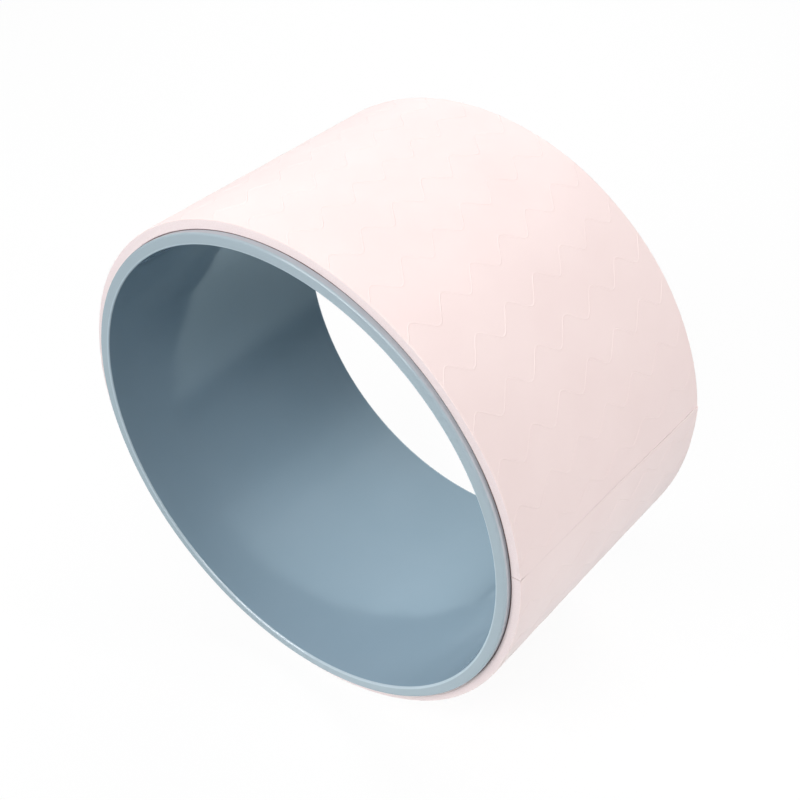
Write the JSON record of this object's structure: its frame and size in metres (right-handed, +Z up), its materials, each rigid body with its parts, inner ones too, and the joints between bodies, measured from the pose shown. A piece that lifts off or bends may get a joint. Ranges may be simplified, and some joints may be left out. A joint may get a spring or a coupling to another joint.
{
  "type": "yoga wheel",
  "caption": "Wide hoop for yoga and back stretching: a rigid plastic tube with rounded rims and a strip of soft foam glued round it, butt-jointed across the tread.",
  "frame": {"origin": "middle of the hoop, on its axis and half way across its width", "axes": "+Y along the hoop's axis, +Z up as it stands on its tread, +X towards the side where the pad's butt joint lies"},
  "size_m": [0.33, 0.194, 0.33],
  "materials": {
    "ring_plastic": "moulded ABS, semi-gloss, blue-grey",
    "film_adhesive": "thin double-sided adhesive film, dull brown at its edge",
    "pad_foam": "closed-cell TPE foam, matt, pale pink, lightly embossed tread",
    "bond_glue": "dried contact glue, matt"
  },
  "bodies": {
    "root": {"core_ring": "ring_plastic", "adhesive_film": "film_adhesive", "foam_pad": "pad_foam", "seam_bond": "bond_glue"}
  },
  "joints": []
}
